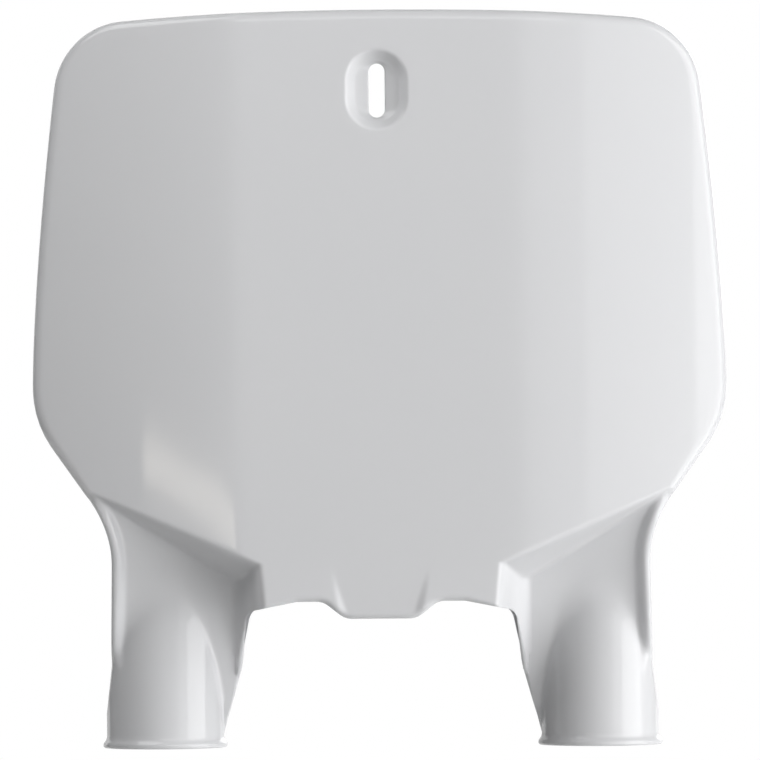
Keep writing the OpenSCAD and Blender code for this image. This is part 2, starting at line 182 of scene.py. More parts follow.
def rounded(a, b, c, r, n):
    """Points of the arc of radius r that rounds the corner b between a and c."""
    a, b, c = Vector(a), Vector(b), Vector(c)
    u, v = (a - b).normalized(), (c - b).normalized()
    half = u.angle(v) / 2
    centre = b + (u + v).normalized() * r / math.sin(half)
    e0 = (b + u * r / math.tan(half) - centre) / r
    e1 = (b + v * r / math.tan(half) - centre) / r
    sweep = math.pi - 2 * half
    turns = [sweep * s / n for s in range(n + 1)]
    return [centre + (e0 * math.sin(sweep - t) + e1 * math.sin(t)) * r / math.sin(sweep) for t in turns]


def spread(stops, step):
    """Stations through every stop, no further apart than a step."""
    out = [stops[0]]
    for start, end in zip(stops, stops[1:]):
        count = max(1, math.ceil(abs(end - start) / step - 1e-6))
        out += [mix(start, end, k / count) for k in range(1, count + 1)]
    return out


# %% [markdown]
# The outline, right half only, as x and z: along the top edge, round the top corner, down
# the side, round the chin, in to the leg and down to the foot; then the edge of the notch
# from the tongue round its corner and down the inside of the leg. Corners are arcs.

# %% Outline
CROWN_RISE = 2.7
TOP_TAPER = 27.0
TAPER_POWER = 1.52
TOP_CORNER_R = 30.0
CORNER_RUN = 42.0
CORNER_FALL = 33.0
CORNER_DROP = 4.0
CORNER_STEPS = 40
HALF_CORNER = CORNER_STEPS // 2
CHIN_R = 43.0
CHIN_DROP = 14.0
CHIN_SLOPE = 1.38
NECK_R = 42.0
BEND_STEPS = 30
LEG_OUT = AXIS_X + 19.7
LEG_SIDE = [(21.7, 34), (23.1, 24), (SLEEVE_R, 14), (SLEEVE_R, 0)]
LEG_INNER = [(3.9, 19), (1.5, 11), (0, 5), (0, 0)]
NOTCH_R = 5.0
NOTCH_STEPS = 24
HALF_NOTCH = NOTCH_STEPS // 2
KNEE_R = 30.0
KNEE_STEPS = 16
TONGUE_FOOT_R = 8.0
TONGUE_HEAD_R = 7.0
TONGUE_STEPS = 10


def crown(x):
    return TOTAL_H - CROWN_RISE * (x / 100) ** 2


def flank(z):
    return HALF_W - TOP_TAPER / 2 * max(0.0, (z - WAIST_Z) / (TOTAL_H - WAIST_Z)) ** TAPER_POWER


crown_end = HALF_W - CORNER_RUN
flank_end = TOTAL_H - CORNER_FALL
corner_x = flank(TOTAL_H - CORNER_DROP)
top_corner = (corner_x, crown(corner_x))
corner_start = (crown_end, crown(crown_end))
corner_stop = (flank(flank_end), flank_end)
corner_arc = rounded(corner_start, top_corner, corner_stop, TOP_CORNER_R, CORNER_STEPS)
chin = (HALF_W, WAIST_Z - CHIN_DROP)
neck = (LEG_OUT, chin[1] - (HALF_W - LEG_OUT) * CHIN_SLOPE)
side_foot = [Vector((AXIS_X + out, z)) for out, z in LEG_SIDE]
inner_foot = [Vector((AXIS_X - SLEEVE_R - away, z)) for away, z in LEG_INNER]
crown_line = [Vector((x, crown(x))) for x in spread([0, corner_arc[0][0]], 2)]
flank_line = [Vector((flank(z), z)) for z in spread([corner_arc[-1][1], WAIST_Z], 3)]
top_line = crown_line[:-1] + corner_arc[:HALF_CORNER + 1]
side_line = (
    corner_arc[HALF_CORNER:]
    + flank_line[1:]
    + rounded((HALF_W, WAIST_Z + 20), chin, neck, CHIN_R, BEND_STEPS)
    + rounded(chin, neck, side_foot[0], NECK_R, BEND_STEPS)
    + side_foot
)
notch_corner = (TAB_HALF + 3.9, TAB_Z - 4.3)
knee = (AXIS_X - SLEEVE_R - 8.2, TAB_Z - 25.8)
tab_side = (TAB_HALF - 13, TAB_Z)
notch_arc = rounded(tab_side, notch_corner, knee, NOTCH_R, NOTCH_STEPS)
tongue_foot = (TONGUE_HALF + 1, TAB_Z - TONGUE_DROP)
tongue_head = (TONGUE_HALF + 10, TAB_Z)
tongue_middle = (0, TAB_Z - TONGUE_DROP)
notch_line = (
    [Vector(tongue_middle), Vector((TONGUE_HALF / 2, TAB_Z - TONGUE_DROP))]
    + rounded(tongue_middle, tongue_foot, tongue_head, TONGUE_FOOT_R, TONGUE_STEPS)
    + rounded(tongue_foot, tongue_head, tab_side, TONGUE_HEAD_R, TONGUE_STEPS)
    + [Vector((TAB_HALF - 17, TAB_Z))]
    + notch_arc[:HALF_NOTCH + 1]
)
leg_line = (
    notch_arc[HALF_NOTCH:]
    + rounded(notch_corner, knee, inner_foot[0], KNEE_R, KNEE_STEPS)
    + inner_foot
)
print("outline points:", len(top_line), len(side_line), len(notch_line), len(leg_line))

# %% [markdown]
# The edge of the moulding turns back along the whole outline. The turn has a wide radius
# along the plate, a smaller one along the legs, and next to none at the foot, where the
# edge is the side of the sleeve itself. The grid of the front face stops short of the
# outline by that radius, so the outline is moved in along its own normals.

# %% Borders of the front face
FOOT_TURN_R = 0.5
NOTCH_TURN_R = 0.7


def leg_turn(z):
    board_part = mix(LIP_R, EDGE_R, ramp(z, STEP_OUT_Z - 14, STEP_OUT_Z + 8))
    return mix(FOOT_TURN_R, board_part, ramp(z, 16, 44))


def notch_turn(p):
    return mix(NOTCH_TURN_R, LIP_R, ramp(math.dist(p, notch_arc[HALF_NOTCH]), 1, 13))


def moved_in(line, radius, side):
    """The line moved in along its normals, as x, z and radius.

    The side is 1 where the sheet lies to the right of the way along the line, and -1 to the left.
    """
    out = []
    for k, p in enumerate(line):
        ahead, back = line[min(k + 1, len(line) - 1)], line[max(k - 1, 0)]
        way = (ahead - back).normalized()
        normal = Vector((-way.y, way.x)) * side
        out.append((*(p - normal * (radius(p) + EDGE_ROOM)), radius(p)))
    return out


outer_border = moved_in(top_line + side_line[1:], lambda p: leg_turn(p[1]), 1)
inner_border = moved_in(notch_line + leg_line[1:], lambda p: min(leg_turn(p[1]), notch_turn(p)), -1)
top_border, side_border = outer_border[:len(top_line)], outer_border[len(top_line) - 1:]
notch_border, leg_border = inner_border[:len(notch_line)], inner_border[len(notch_line) - 1:]
side_border[-1] = (side_border[-2][0], 0.0, side_border[-1][2])
leg_border[-1] = (leg_border[-2][0], 0.0, leg_border[-1][2])
top_table = sorted((x, z) for x, z, _ in top_border)
side_table = sorted((z, x) for x, z, _ in side_border)
notch_table = sorted((x, z) for x, z, _ in notch_border)
leg_table = sorted((z, x) for x, z, _ in leg_border)
side_reach = sorted((z, r) for _, z, r in side_border)
tab_reach = sorted((x, r) for x, _, r in notch_border)
leg_reach = sorted((z, r) for _, z, r in leg_border)
TOP_END = Vector(side_border[0][:2])
NOTCH_END = Vector(leg_border[0][:2])
print("top corner of the grid:", [round(v, 1) for v in TOP_END])
print("notch corner of the grid:", [round(v, 1) for v in NOTCH_END])


# %% [markdown]
# The depth of the front face at any x and z. The plate is flat in its middle and sweeps
# back at the sides. Below it a steep step drops to a sloping saddle floor over each leg,
# a wall joins the floor to the forward tab in the middle, and the sleeve rises out of the
# floor as half a cylinder. The front face is the rounded maximum of the low faces, cut
# off by the plate with a rounded minimum.

# %% Depth of the front face
WALL_LEAN = 1.3
WALL_CURVE = 0.15
STEP_FILLET = 5.0
WALL_FILLET = 18.0
CREASE_FILLET = 4.0
VALLEY_FILLET = 5.0
ARCH_FILLET = 1.6
CROWN_FILLET = 6.0
BED_F = 4.5
BED_FILLET = 3.0
LEAST_FILLET = 0.01
NO_WALL = -100.0
FACET_SOFTNESS = 0.15
FACET_TOP_W = 1.5
FACET_FOOT_W = 4.5
LIP_H = 3.0
LIP_W = 3.6


def plate_f(x):
    over = x - FLAT_HALF
    folded = (over + math.hypot(over, FOLD_SOFTNESS)) / 2
    return BOARD_F - FOLD_SLOPE * folded - SIDE_SWEEP * max(0.0, over) ** 2


def floor_f(x, z):
    return SLEEVE_R - APEX_DROP + FLOOR_SLOPE * (z - APEX_Z) + FLOOR_CANT * (x - AXIS_X)


def tube_f(x):
    return math.sqrt(max(0.0, SLEEVE_R ** 2 - (x - AXIS_X) ** 2))


def step_z(x):
    return mix(STEP_IN_Z, STEP_OUT_Z, (x - TAB_HALF) / (STEP_OUT_X - TAB_HALF))


def wall_rise(x):
    d = max(0.0, CREASE_X - x)
    return WALL_LEAN * d + WALL_CURVE * d * d


def tab_flare(x, z):
    down = (FACET_TOP_Z - z) / (FACET_TOP_Z - TAB_Z + TONGUE_DROP)
    down = (down + math.hypot(down, FACET_SOFTNESS)) / 2
    middle = mix(FACET_TOP_X, FACET_FOOT_X, down)
    return TONGUE_STEP * down * ease((x - middle) / mix(FACET_TOP_W, FACET_FOOT_W, down) + 0.5)


def outer_lip(x, z):
    away = lookup(z, side_table) - x
    along = ramp(z, STEP_OUT_Z - 3, STEP_OUT_Z - 15) * ramp(z, 24, 46)
    return LIP_H * (1 - ramp(away, 0, LIP_W)) * along


def front_f(x, z):
    plate = plate_f(x) + tab_flare(x, z)
    bed = soft_max(BED_F * ramp(z, 4, 12), floor_f(x, z), BED_FILLET)
    arch = mix(ARCH_FILLET, CROWN_FILLET, ramp(z, 36, 60))
    saddle = soft_max(bed, tube_f(x), arch) + outer_lip(x, z)
    wall = floor_f(CREASE_X, z) + wall_rise(x) if x < CREASE_X else NO_WALL
    step = plate_f(x) + STEP_SLOPE * (z - step_z(x))
    by_wall = soft_min(plate, soft_max(saddle, wall, CREASE_FILLET), WALL_FILLET)
    by_step = soft_min(plate, soft_max(saddle, step, CREASE_FILLET), STEP_FILLET)
    top = max(by_wall, by_step)
    return soft_max(by_wall, by_step, max(LEAST_FILLET, min(VALLEY_FILLET, plate - top, top - saddle)))


print("depth of the plate:", round(front_f(0, 200), 1))
print("depth of the saddle and of the sleeve:", round(front_f(90, 80), 1), round(front_f(90, 30), 1))

# %% [markdown]
# The grid that carries the face. Its rows follow the form: level in the plate, along the
# fold above each step, along the crease below the step, through the corner of the notch,
# and level again round the sleeve. Its columns run down from the top edge, with one column
# along the corner of the tab and one along the crease beside the leg.

# %% Guide lines of the grid
DISH_FOOT = 58
TOP_ROWS = spread([0, DISH_FOOT], 2.2) + spread([DISH_FOOT, 212], 5)[1:]
PLATE_ROWS = len(TOP_ROWS) - 1
STEP_ROWS = 12
SADDLE_ROWS = 26
LEG_ROWS = 58
BEAD_TOP = 5.6
BEAD_ROWS = 12
TAB_STATIONS = spread([0, 10, 20, 42], 1.1)[:-1] + spread([42, TAB_HALF], 0.75)
WALL_COLS = 14
FLOOR_COLS = 54
FOLD_GAP = 4.0
CREASE_GAP = 2.5
NOTCH_ROW_RISE = 1.38


def crease_z(x):
    """Height where the step meets the saddle floor, or the wall beside the tab."""
    offset = SLEEVE_R - APEX_DROP - FLOOR_SLOPE * APEX_Z + FLOOR_CANT * (max(x, CREASE_X) - AXIS_X)
    return (STEP_SLOPE * step_z(x) - plate_f(x) + offset + wall_rise(x)) / (STEP_SLOPE - FLOOR_SLOPE)


def fold_z(x):
    return max(step_z(x) + FOLD_GAP, crease_z(x) + CREASE_GAP)


def side_at(z):
    return Vector((lookup(z, side_table), z))


def side_on(line_z):
    """Where a line z(x) meets the outer border."""
    x = LEG_OUT
    for _ in range(30):
        x = mix(x, lookup(line_z(x), side_table), 0.5)
    return Vector((x, line_z(x)))


fold_side = side_on(fold_z)
crease_side = side_on(crease_z)
notch_side = side_at(NOTCH_END[1] * NOTCH_ROW_RISE)
print("outer ends of the guides:", [[round(v, 1) for v in p] for p in (fold_side, crease_side, notch_side)])


def row_ends(part, s):
    """Tab column, crease column and outer end of a row, s of the way through a part of the board."""
    if part == "plate":
        side = side_at(mix(TOP_END[1], fold_side[1], s))
        head = Vector((TAB_HALF, mix(lookup(TAB_HALF, top_table), fold_z(TAB_HALF), s)))
        crease = Vector((CREASE_X, mix(lookup(CREASE_X, top_table), fold_z(CREASE_X), s)))
    elif part == "step":
        side = side_at(mix(fold_side[1], crease_side[1], s))
        head = Vector((TAB_HALF, mix(fold_z(TAB_HALF), crease_z(TAB_HALF), s)))
        crease = Vector((CREASE_X, mix(fold_z(CREASE_X), crease_z(CREASE_X), s)))
    elif part == "saddle":
        side = side_at(mix(crease_side[1], notch_side[1], s))
        head = Vector((mix(TAB_HALF, NOTCH_END[0], s * s), mix(crease_z(TAB_HALF), NOTCH_END[1], s)))
        crease = Vector((CREASE_X, mix(crease_z(CREASE_X), NOTCH_END[1] + 2, s)))
    else:
        z0, z1 = (NOTCH_END[1], BEAD_TOP) if part == "leg" else (BEAD_TOP, 0.0)
        side = side_at(mix(notch_side[1], BEAD_TOP, s) if part == "leg" else mix(z0, z1, s))
        z = mix(z0, z1, s)
        head = Vector((lookup(z, leg_table), z))
        edge = mix(z + 2, z, s) if part == "leg" else z
        crease = Vector((max(CREASE_X, head[0] + mix(0.8, 3.2, ramp(z, 40, 10))), edge))
    return head, crease, side


PARTS = (
    [("plate", k / PLATE_ROWS) for k in range(PLATE_ROWS)]
    + [("step", k / STEP_ROWS) for k in range(STEP_ROWS)]
    + [("saddle", k / SADDLE_ROWS) for k in range(SADDLE_ROWS)]
    + [("leg", k / LEG_ROWS) for k in range(LEG_ROWS)]
    + [("bead", k / BEAD_ROWS) for k in range(BEAD_ROWS + 1)]
)
NOTCH_ROW = PLATE_ROWS + STEP_ROWS + SADDLE_ROWS
TAB_COLS = len(TAB_STATIONS) - 1
CREASE_COL = TAB_COLS + WALL_COLS
LAST_COL = CREASE_COL + FLOOR_COLS
LAST_ROW = len(PARTS) - 1
print("grid of", LAST_ROW, "by", LAST_COL, "cells in each half")


def plate_share(s):
    """Plate rows crowd together towards the top, round the dish."""
    return TOP_ROWS[round(s * PLATE_ROWS)] / TOP_ROWS[-1]


def top_chord(col):
    """Height of the straight lines that the top row is first laid on."""
    crease_top = lookup(CREASE_X, top_table)
    if col <= TAB_COLS:
        return lookup(TAB_HALF, top_table)
    if col <= CREASE_COL:
        return mix(lookup(TAB_HALF, top_table), crease_top, (col - TAB_COLS) / WALL_COLS)
    return mix(crease_top, TOP_END[1], (col - CREASE_COL) / FLOOR_COLS)


def sag(line_z, start, end, t):
    """How far a guide line lies above its own chord."""
    return line_z(mix(start, end, t)) - mix(line_z(start), line_z(end), t)


def place(row, col):
    """Place of a grid point of the right half as x and z."""
    part, s = PARTS[row]
    if part == "plate":
        s = plate_share(s)
    head, crease, side = row_ends(part, s)
    if col <= TAB_COLS:
        across = TAB_STATIONS[col]
        x, z = across * head[0] / TAB_HALF, head[1]
        if part == "saddle" or row == NOTCH_ROW:
            notch_z = lookup(across * NOTCH_END[0] / TAB_HALF, notch_table)
            z = mix(crease_z(TAB_HALF), notch_z, s if part == "saddle" else 1.0)
    else:
        by_wall = col <= CREASE_COL
        t = (col - TAB_COLS) / WALL_COLS if by_wall else (col - CREASE_COL) / FLOOR_COLS
        near, away = (head, crease) if by_wall else (crease, side)
        x, z = mix(near[0], away[0], t), mix(near[1], away[1], t)
        ends = (TAB_HALF, CREASE_X) if by_wall else (CREASE_X, crease_side[0])
        if part == "plate":
            z += sag(fold_z, *ends, t) * s ** 6
        elif part == "step":
            z += mix(sag(fold_z, *ends, t), sag(crease_z, *ends, t), s)
        elif part == "saddle":
            z += sag(crease_z, *ends, t) * (1 - s) ** 2
    if part == "plate":
        top_x = TOP_END[0] * (x / TOP_END[0] if row == 0 else min(1.0, x / side[0]))
        z += (lookup(top_x, top_table) - top_chord(col)) * (1 - s) ** 8
    return Vector((x, z))


# %% [markdown]
# One flat grid, cut to the shape of the board and then pressed into form: each point is
# moved to its place, with the depth that the formula gives there. That is close to how a
# designer pulls a cage onto a form, and it keeps every row and column of the grid.

# %% Press the grid into the front face
bm = bmesh.new()
bmesh.ops.create_grid(bm, x_segments=LAST_COL, y_segments=LAST_ROW, size=1.0)
spare = []
for face in bm.faces:
    middle = face.calc_center_median()
    col = (middle.x + 1) / 2 * LAST_COL
    row = (1 - middle.y) / 2 * LAST_ROW
    if row > NOTCH_ROW and col < TAB_COLS:
        spare.append(face)
bmesh.ops.delete(bm, geom=spare, context="FACES")
row_of = bm.verts.layers.int.new("row")
col_of = bm.verts.layers.int.new("col")
for vert in bm.verts:
    col = round((vert.co.x + 1) / 2 * LAST_COL)
    row = round((1 - vert.co.y) / 2 * LAST_ROW)
    vert[row_of], vert[col_of] = row, col
    x, z = place(row, col)
    vert.co = (x, -front_f(x, z), z)
bmesh.ops.recalc_face_normals(bm, faces=bm.faces)
print("front face:", len(bm.faces), "faces")

# %% [markdown]
# The rim. The outer edge loop is extruded again and again, and each new loop is moved a
# little further round a quarter turn that starts along the face, so no line shows where it
# begins. After the turn the rim runs straight back. In the inner corner of the notch the
# wall is too steep to be turned, so the rim fades out there.

# %% Turn the edge back
TURN_STEPS = 7
BACK_STEPS = 2
FULL_TURN = math.radians(88)
LEAST_TURN = 0.05
TURN_ROOM = 0.1
MAX_TURN_R = 12.0
PROBE = 0.4
LEG_FREE_F = 8.5
LEG_RIM_DEPTH = 6.0
TAB_RIM_DEPTH = 6.5
NOTCH_RIM_DEPTH = 3.5
NOTCH_SHARE = 0.3
LEAST_RIM = 0.3


def free_edge_f(kind, x, z, f):
    """Depth of the free edge of the rim behind a border point."""
    if kind == "top":
        return f - RIM_DEPTH
    if kind == "side" and z > 30:
        by_leg = mix(LEG_FREE_F, RIM_DEPTH, ramp(z, 30, 80))
        return mix(f - RIM_DEPTH, by_leg, ramp(z, STEP_OUT_Z + 6, STEP_OUT_Z - 28))
    if kind == "side":
        return mix(0.0, LEG_FREE_F, ramp(z, 16, 30))
    if kind == "leg":
        return mix(0.0, f - LEG_RIM_DEPTH, ramp(z, 14, 58))
    return f - mix(TAB_RIM_DEPTH, NOTCH_RIM_DEPTH, ramp(x, 30, 50))


def kind_of(vert):
    row, col = vert[row_of], vert[col_of]
    if row == 0:
        return "top"
    if col == LAST_COL:
        return "side"
    return "tab" if row <= NOTCH_ROW else "leg"


def is_seam(edge):
    """Edges on the middle plane and along the foot get no rim."""
    a, b = edge.verts
    return max(abs(a.co.x), abs(b.co.x)) < 1e-6 or max(a.co.z, b.co.z) < 1e-6


def edge_frame(vert, rim):
    """What the turn at a border point needs, in the order in which turned() takes it."""
    x, f, z = vert.co.x, -vert.co.y, vert.co.z
    others = [edge.other_vert(vert).co for edge in vert.link_edges if edge in rim]
    way = (others[0] - others[1]) if len(others) == 2 else (others[0] - vert.co)
    normal = Vector((-way.z, way.x)).normalized()
    middle = sum((face.calc_center_median() for face in vert.link_faces), Vector()) / len(vert.link_faces)
    inside = middle - vert.co
    if normal.dot((inside.x, inside.z)) > 0:
        normal = -normal
    if abs(x) < 1e-6:
        normal = Vector((0, math.copysign(1, normal.y)))
    if z < 1e-6:
        normal = Vector((math.copysign(1, normal.x), 0))
    kind = kind_of(vert)
    back = Vector((x, z)) - normal * PROBE
    start = min(-math.atan((f - front_f(back.x, back.y)) / PROBE), FULL_TURN - TURN_ROOM)
    reaches = {
        "top": EDGE_R,
        "side": lookup(z, side_reach),
        "tab": lookup(x, tab_reach),
        "leg": lookup(z, leg_reach),
    }
    share = 1.0
    if kind in ("tab", "leg"):
        share = mix(NOTCH_SHARE, 1.0, ramp(math.dist((x, z), NOTCH_END), 1, 15))
    end = mix(start + LEAST_TURN, FULL_TURN, share)
    free = mix(f - 1.0, free_edge_f(kind, x, z, f), share)
    return Vector((x, z)), f, normal, start, end, reaches[kind], free


def turned(edge, step):
    """Place of a rim vertex after a number of steps round the turn and back."""
    at, f, normal, start, end, reach, free = edge
    angle = mix(start, end, min(step, TURN_STEPS) / TURN_STEPS)
    span = math.sin(end) - math.sin(start)
    out = at + normal * reach * (math.sin(angle) - math.sin(start)) / span
    depth = f - min(reach / span, MAX_TURN_R) * (math.cos(start) - math.cos(angle))
    if step > TURN_STEPS:
        depth -= max(LEAST_RIM, depth - free) * (step - TURN_STEPS) / BACK_STEPS
    return Vector((out.x, -max(depth, 0.0), out.y))


def extruded(edges):
    """Extrude a loop of edges; the new points and the new loop come back."""
    new = bmesh.ops.extrude_edge_only(bm, edges=edges)["geom"]
    verts = {item for item in new if isinstance(item, bmesh.types.BMVert)}
    made = [item for item in new if isinstance(item, bmesh.types.BMEdge)]
    return verts, [edge for edge in made if verts.issuperset(edge.verts)]


def ends_of(edges):
    """The points of some edges, each once, in a fixed order."""
    return list(dict.fromkeys(vert for edge in edges for vert in edge.verts))


loop = [edge for edge in bm.edges if edge.is_boundary and not is_seam(edge)]
rim = set(loop)
start_of = bm.verts.layers.int.new("start")
rim_edges = []
for vert in ends_of(loop):
    vert[start_of] = len(rim_edges)
    rim_edges.append(edge_frame(vert, rim))
for step in range(1, TURN_STEPS + BACK_STEPS + 1):
    verts, loop = extruded(loop)
    for vert in verts:
        vert.co = turned(rim_edges[vert[start_of]], step)
print("with its rim:", len(bm.faces), "faces")

# %% [markdown]
# The foot of each sleeve has a rounded bead. The rows there are level, so the bead is made
# by moving them away from the axis of the sleeve. Then the right half is mirrored.

# %% Bead and second half
BEAD_OUT = 1.5
BEAD = [(0, 0.62), (0.5, 0.94), (1.1, 1.0), (1.8, 0.95), (2.5, 0.62), (3.2, 0.28), (4.2, 0.06), (5.2, 0.0)]

for vert in bm.verts:
    if vert.co.z < BEAD[-1][0]:
        away = Vector((vert.co.x - AXIS_X, vert.co.y))
        away *= 1 + BEAD_OUT * lookup(vert.co.z, BEAD) / away.length
        vert.co.x, vert.co.y = AXIS_X + away.x, min(away.y, 0.0)
bmesh.ops.mirror(bm, geom=bm.verts[:] + bm.edges[:] + bm.faces[:], axis="X", merge_dist=0.01)
bmesh.ops.recalc_face_normals(bm, faces=bm.faces)
print("both halves:", len(bm.faces), "faces")

# %% [markdown]
# The dish for the bolt head. A block of the flat plate is taken out and the edge loop of
# the hole is extruded inwards, onto ovals that get smaller and deeper: first the rounded
# brim, then the steep wall, then a floor that slopes to the slot. A ring is a radius, a
# depth, and how far its straight sides have changed from those of the dish to the slot's.

# %% Dish and slot
DISH_R = 12.2
DISH_REACH = 3.7
DISH_FLOOR_R = 8.9
SLOT_REACH = SLOT_L / 2 - SLOT_R
BLOCK_X = 17.6
BLOCK_Z = 21.0
FLOOR_EDGE = 4.3
FLOOR_DEEP = 5.9
DISH_RINGS = [
    (DISH_R + 1.7, 0.0, 0.0),
    (DISH_R + 1.1, 0.0, 0.0),
    (DISH_R + 0.7, 0.05, 0.0),
    (DISH_R + 0.3, 0.2, 0.0),
    (DISH_R - 0.1, 0.5, 0.0),
    (DISH_R - 0.5, 0.95, 0.0),
    (DISH_R - 0.9, 1.45, 0.0),
    (DISH_R - 2.0, 2.85, 0.0),
    (DISH_FLOOR_R + 0.5, FLOOR_EDGE - 0.55, 0.0),
    (DISH_FLOOR_R + 0.1, FLOOR_EDGE - 0.18, 0.0),
    (DISH_FLOOR_R - 0.3, FLOOR_EDGE, 0.02),
    (DISH_FLOOR_R - 1.0, FLOOR_EDGE + 0.22, 0.1),
    (6.8, 4.82, 0.3),
    (5.6, 5.15, 0.55),
    (SLOT_R + 1.2, FLOOR_DEEP - 0.43, 0.8),
    (SLOT_R + 0.5, FLOOR_DEEP - 0.22, 0.93),
    (SLOT_R + 0.15, FLOOR_DEEP, 0.98),
    (SLOT_R, FLOOR_DEEP + 0.3, 1.0),
]


def oval_place(direction):
    """Angle of the arc and share of the straight side where a ray from the middle meets the dish."""
    x, z = direction.normalized()
    radius = DISH_RINGS[0][0]
    if abs(x) > 1e-9 and abs(radius * z / x) <= DISH_REACH:
        return (0.0 if x > 0 else math.pi), abs(radius / x) * z / DISH_REACH
    end = math.copysign(1, z)
    t = DISH_REACH * abs(z) + math.sqrt(radius ** 2 - (DISH_REACH * x) ** 2)
    return math.atan2(t * z - end * DISH_REACH, t * x), end


def in_block(face):
    middle = face.calc_center_median()
    return abs(middle.x) < BLOCK_X and abs(middle.z - SLOT_Z) < BLOCK_Z


def on_hole(edge):
    return not all(in_block(face) for face in edge.link_faces)


block = [face for face in bm.faces if in_block(face)]
loop = [edge for face in block for edge in face.edges if on_hole(edge)]
bmesh.ops.delete(bm, geom=block, context="FACES")
seats = []
for vert in ends_of(loop):
    vert[start_of] = len(seats)
    seats.append(oval_place(Vector((vert.co.x, vert.co.z - SLOT_Z))))
for radius, depth, slot_share in DISH_RINGS:
    verts, loop = extruded(loop)
    reach = mix(DISH_REACH, SLOT_REACH, slot_share)
    for vert in verts:
        angle, straight = seats[vert[start_of]]
        x = radius * math.cos(angle)
        z = SLOT_Z + straight * reach + radius * math.sin(angle)
        vert.co = (x, -(BOARD_F - depth), z)
bmesh.ops.recalc_face_normals(bm, faces=bm.faces)
print("with the dish:", len(bm.faces), "faces")

# %% [markdown]
# The wall. All faces are extruded as one region and the front is kept, which closes the
# sheet along its free edges. The new faces move back by the wall thickness, a little more
# in the creases so the wall stays even, and no point of the back comes nearer to the front
# than the least wall. Inside the sleeves they are brought onto the bore, so that the bead
# outside leaves the bore straight.

# %% Wall thickness
SNAP = 0.35
LEAST_WALL = 1.8
LEAST_COSINE = 0.75
inward = bm.verts.layers.float_vector.new("inward")
bm.normal_update()
for vert in bm.verts:
    normal = vert.normal.copy()
    if vert.co.z < 1e-6:
        normal.z = 0.0
        normal.normalize()
    flattest = min(face.normal.dot(normal) for face in vert.link_faces)
    vert[inward] = -normal * WALL / max(LEAST_COSINE, flattest)
back = bmesh.ops.extrude_face_region(bm, geom=bm.faces[:], use_keep_orig=True)["geom"]
for vert in [item for item in back if isinstance(item, bmesh.types.BMVert)]:
    vert.co += vert[inward]
    behind = LEAST_WALL - front_f(abs(vert.co.x), vert.co.z)
    vert.co.y = min(max(vert.co.y, behind), 0.0)
    away = Vector((abs(vert.co.x) - AXIS_X, vert.co.y))
    on_bore = abs(away.length - BORE_R) < SNAP or (vert.co.z < BEAD_TOP and away.length < SLEEVE_R - 0.5)
    if vert.co.z < APEX_Z and on_bore:
        away *= BORE_R / away.length
        vert.co.x, vert.co.y = math.copysign(AXIS_X + away.x, vert.co.x), away.y
bmesh.ops.recalc_face_normals(bm, faces=bm.faces)
print("walls:", len(bm.faces), "faces")
bmesh.ops.scale(bm, vec=(MM, MM, MM), verts=bm.verts)

mesh = bpy.data.meshes.new("board")
bm.to_mesh(mesh)
bm.free()
mesh.shade_smooth()
board = bpy.data.objects.new("board", mesh)
bpy.context.scene.collection.objects.link(board)
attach(board, "root")
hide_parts("number_board")


# %% [markdown]
# The finish is glossy white injection moulded plastic. A small class wraps a socket so that
# it can be added and multiplied like a number, and the pattern reads as plain sums.

# %% Shader sums
class Sum:
    """A shader socket that can be used in sums."""

    def __init__(self, tree, socket):
        self.tree, self.socket = tree, socket

    def node(self, kind, settings=None, **inputs):
        made = self.tree.nodes.new(kind)
        for name, value in (settings or {}).items():
            setattr(made, name, value)
        for name, value in inputs.items():
            entry = made.inputs[int(name[1:])] if name[0] == "_" else made.inputs[name.replace("_", " ")]
            if isinstance(value, Sum):
                self.tree.links.new(value.socket, entry)
            else:
                entry.default_value = value
        return made

    def maths(self, operation, other):
        made = self.node("ShaderNodeMath", {"operation": operation}, _0=self, _1=other)
        return Sum(self.tree, made.outputs[0])

    def __add__(self, other):
        return self.maths("ADD", other)

    def __mul__(self, other):
        return self.maths("MULTIPLY", other)

    __radd__ = __add__
    __rmul__ = __mul__


# %% [markdown]
# The plastic is close to white. A slow cloud tints it a little and changes its polish, a
# fine grain roughens it, and a faint ripple of the mould bends the reflections.

# %% Glossy moulded plastic
PLASTIC_IOR = 1.43
GREYER = (0.69, 0.695, 0.71, 1.0)
WHITER = (0.71, 0.713, 0.725, 1.0)
POLISH = 0.04


def moulded_plastic():
    material = bpy.data.materials.new("board_plastic")
    material.use_nodes = True
    tree = material.node_tree
    shader = tree.nodes["Principled BSDF"]
    shader.inputs["IOR"].default_value = PLASTIC_IOR
    coords = Sum(tree, tree.nodes.new("ShaderNodeTexCoord").outputs["Object"])

    def noise(scale, detail):
        made = coords.node("ShaderNodeTexNoise", Vector=coords, Scale=scale, Detail=detail, Roughness=0.5)
        return Sum(tree, made.outputs["Fac"])

    cloud = noise(14.0, 2.0)
    grain = noise(900.0, 3.0)
    ripple = noise(55.0, 1.0)
    tint = coords.node("ShaderNodeMix", {"data_type": "RGBA"}, Factor=cloud, _6=GREYER, _7=WHITER)
    tree.links.new(tint.outputs[2], shader.inputs["Base Color"])
    rough = cloud * 0.03 + grain * 0.03 + POLISH
    tree.links.new(rough.socket, shader.inputs["Roughness"])
    height = ripple * 0.9 + grain * 0.02
    bump = coords.node("ShaderNodeBump", Strength=0.12, Distance=0.0002, Height=height)
    tree.links.new(bump.outputs["Normal"], shader.inputs["Normal"])
    return material


board.data.materials.append(moulded_plastic())
print("finish:", board.data.materials[0].name)

# %% [markdown]
# The stage: a plain pale floor under the board, which is held up by its mounts, and a pale
# backdrop that the camera sees as white. Two large lamps, key and soft, stand low at the
# right, because that side is the brighter one and the steps that face down are lit as
# well. A small one is above, a weak one is in front, and one behind lights the back of the
# board. The thin warm window is seen as the slanting reflection on the left.

